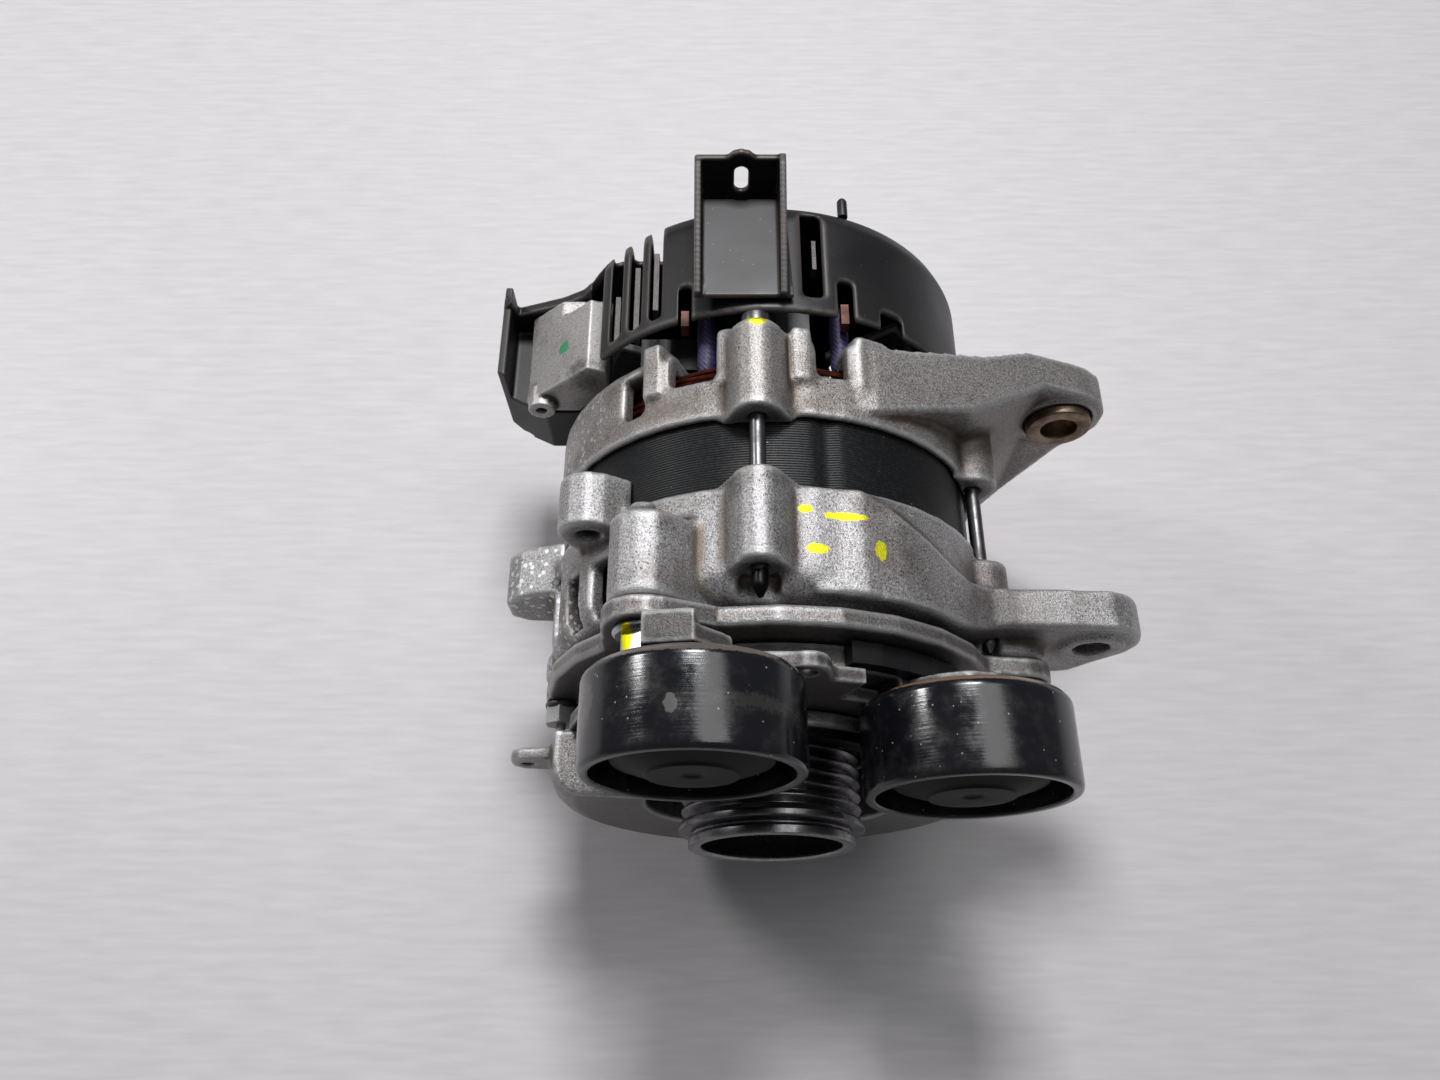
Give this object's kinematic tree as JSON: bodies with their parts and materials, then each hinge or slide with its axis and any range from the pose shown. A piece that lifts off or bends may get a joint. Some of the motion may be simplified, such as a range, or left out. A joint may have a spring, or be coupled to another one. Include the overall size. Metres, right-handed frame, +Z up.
{
  "type": "car alternator",
  "caption": "Belt-driven car alternator with a ring tensioner carrying two smooth idlers, cast end brackets with mounting eyes, and a plastic rear cover.",
  "frame": {"origin": "middle of the bounding box, on the surface that the casting's feet stand on", "axes": "+Y along the shaft from the pulley to the rear cover, +X to the side with the two mounting eyes, +Z up as the unit lies on a bench"},
  "size_m": [0.1984, 0.1905, 0.1639],
  "materials": {
    "cast_aluminium": "sand-cast, dirty",
    "dark_metal": "dull, oily",
    "lacquered_steel": "black lacquer",
    "bright_zinc": "bright zinc plate",
    "black_plastic": "moulded, satin",
    "idler_plastic": "worn glossy",
    "copper_wire": "enamelled wire",
    "bronze_bush": "oiled sintered bronze",
    "navy_sleeve": "woven sleeve",
    "carbon": "pressed carbon",
    "plain_steel": "turned"
  },
  "bodies": {
    "alternator_body": {"drive_end_bracket": "cast_aluminium", "stator_core": "lacquered_steel", "stator_winding_front": "copper_wire", "stator_winding_rear": "copper_wire", "rear_bracket": "cast_aluminium", "through_bolt_1": "plain_steel", "through_bolt_2": "plain_steel", "through_bolt_3": "plain_steel", "through_bolt_4": "plain_steel", "front_bearing": "plain_steel", "bearing_retainer": "plain_steel", "rear_bearing": "plain_steel", "brush_holder": "black_plastic", "rectifier_plate_negative": "dark_metal", "rectifier_plate_positive": "dark_metal", "diode_1": "plain_steel", "diode_2": "plain_steel", "diode_3": "plain_steel", "phase_sleeve_1": "navy_sleeve", "phase_sleeve_2": "navy_sleeve", "phase_sleeve_3": "navy_sleeve", "positive_terminal_stud": "bright_zinc", "positive_terminal_nut": "bright_zinc", "rear_cover": "black_plastic", "terminal_guard": "black_plastic", "connector_housing": "black_plastic", "regulator_heat_sink": "cast_aluminium", "tensioner_base": "cast_aluminium", "tensioner_bolt_1": "bright_zinc", "tensioner_bolt_2": "bright_zinc", "tensioner_bolt_3": "bright_zinc", "tensioner_retaining_ring": "plain_steel"},
    "idler_left": {"idler_tyre_left": "idler_plastic", "idler_bearing_left": "plain_steel", "idler_cap_left": "black_plastic"},
    "idler_right": {"idler_tyre_right": "idler_plastic", "idler_bearing_right": "plain_steel", "idler_cap_right": "black_plastic"},
    "tensioner_carrier": {"tensioner_carrier": "cast_aluminium", "tensioner_spring_housing": "cast_aluminium", "arc_spring": "plain_steel", "idler_bolt_left": "plain_steel"},
    "tensioner_arm": {"tensioner_arm": "dark_metal", "damping_band": "black_plastic", "idler_bolt_right": "plain_steel"},
    "rotor": {"rotor_shaft": "plain_steel", "claw_pole_front": "dark_metal", "claw_pole_rear": "dark_metal", "field_coil": "copper_wire", "front_fan": "plain_steel", "rear_fan": "plain_steel", "slip_ring_sleeve": "copper_wire", "pulley_hub": "plain_steel", "overrunning_clutch": "lacquered_steel"},
    "pulley": {"pulley_sleeve": "plain_steel"},
    "brush_1": {"brush_1": "carbon", "brush_spring_1": "plain_steel"},
    "brush_2": {"brush_2": "carbon", "brush_spring_2": "plain_steel"},
    "mount_bush": {"rear_mount_bush": "bronze_bush"}
  },
  "joints": [
    {"name": "rotor_spin", "type": "hinge", "parent": "alternator_body", "child": "rotor", "pos_m": [-0.0108, -0.0003, 0.072], "axis": [0, 1, 0], "continuous": true},
    {"name": "pulley_overrun", "type": "hinge", "parent": "rotor", "child": "pulley", "pos_m": [-0.0108, -0.0783, 0.072], "axis": [0, 1, 0], "continuous": true},
    {"name": "carrier_swing", "type": "hinge", "parent": "alternator_body", "child": "tensioner_carrier", "pos_m": [-0.0108, -0.0623, 0.072], "axis": [0, 1, 0], "range_deg": [-8, 8]},
    {"name": "arm_swing", "type": "hinge", "parent": "tensioner_carrier", "child": "tensioner_arm", "pos_m": [-0.0108, -0.0563, 0.072], "axis": [0, 1, 0], "range_deg": [0, 20], "stiffness_Nm_per_rad": 6, "springref_deg": -45.84},
    {"name": "idler_left_spin", "type": "hinge", "parent": "tensioner_carrier", "child": "idler_left", "pos_m": [-0.0324, -0.0773, 0.1359], "axis": [0, 1, 0], "continuous": true},
    {"name": "idler_right_spin", "type": "hinge", "parent": "tensioner_arm", "child": "idler_right", "pos_m": [0.0394, -0.0773, 0.113], "axis": [0, 1, 0], "continuous": true},
    {"name": "brush_1_travel", "type": "slide", "parent": "alternator_body", "child": "brush_1", "axis": [0, 0, 1], "range_m": [0, 0.004], "stiffness_N_per_m": 150, "springref_m": -0.012, "deforming": ["brush_spring_1"]},
    {"name": "brush_2_travel", "type": "slide", "parent": "alternator_body", "child": "brush_2", "axis": [0, 0, 1], "range_m": [0, 0.004], "stiffness_N_per_m": 150, "springref_m": -0.012, "deforming": ["brush_spring_2"]},
    {"name": "mount_bush_slide", "type": "slide", "parent": "alternator_body", "child": "mount_bush", "axis": [0, -1, 0], "range_m": [0, 0.002]}
  ]
}
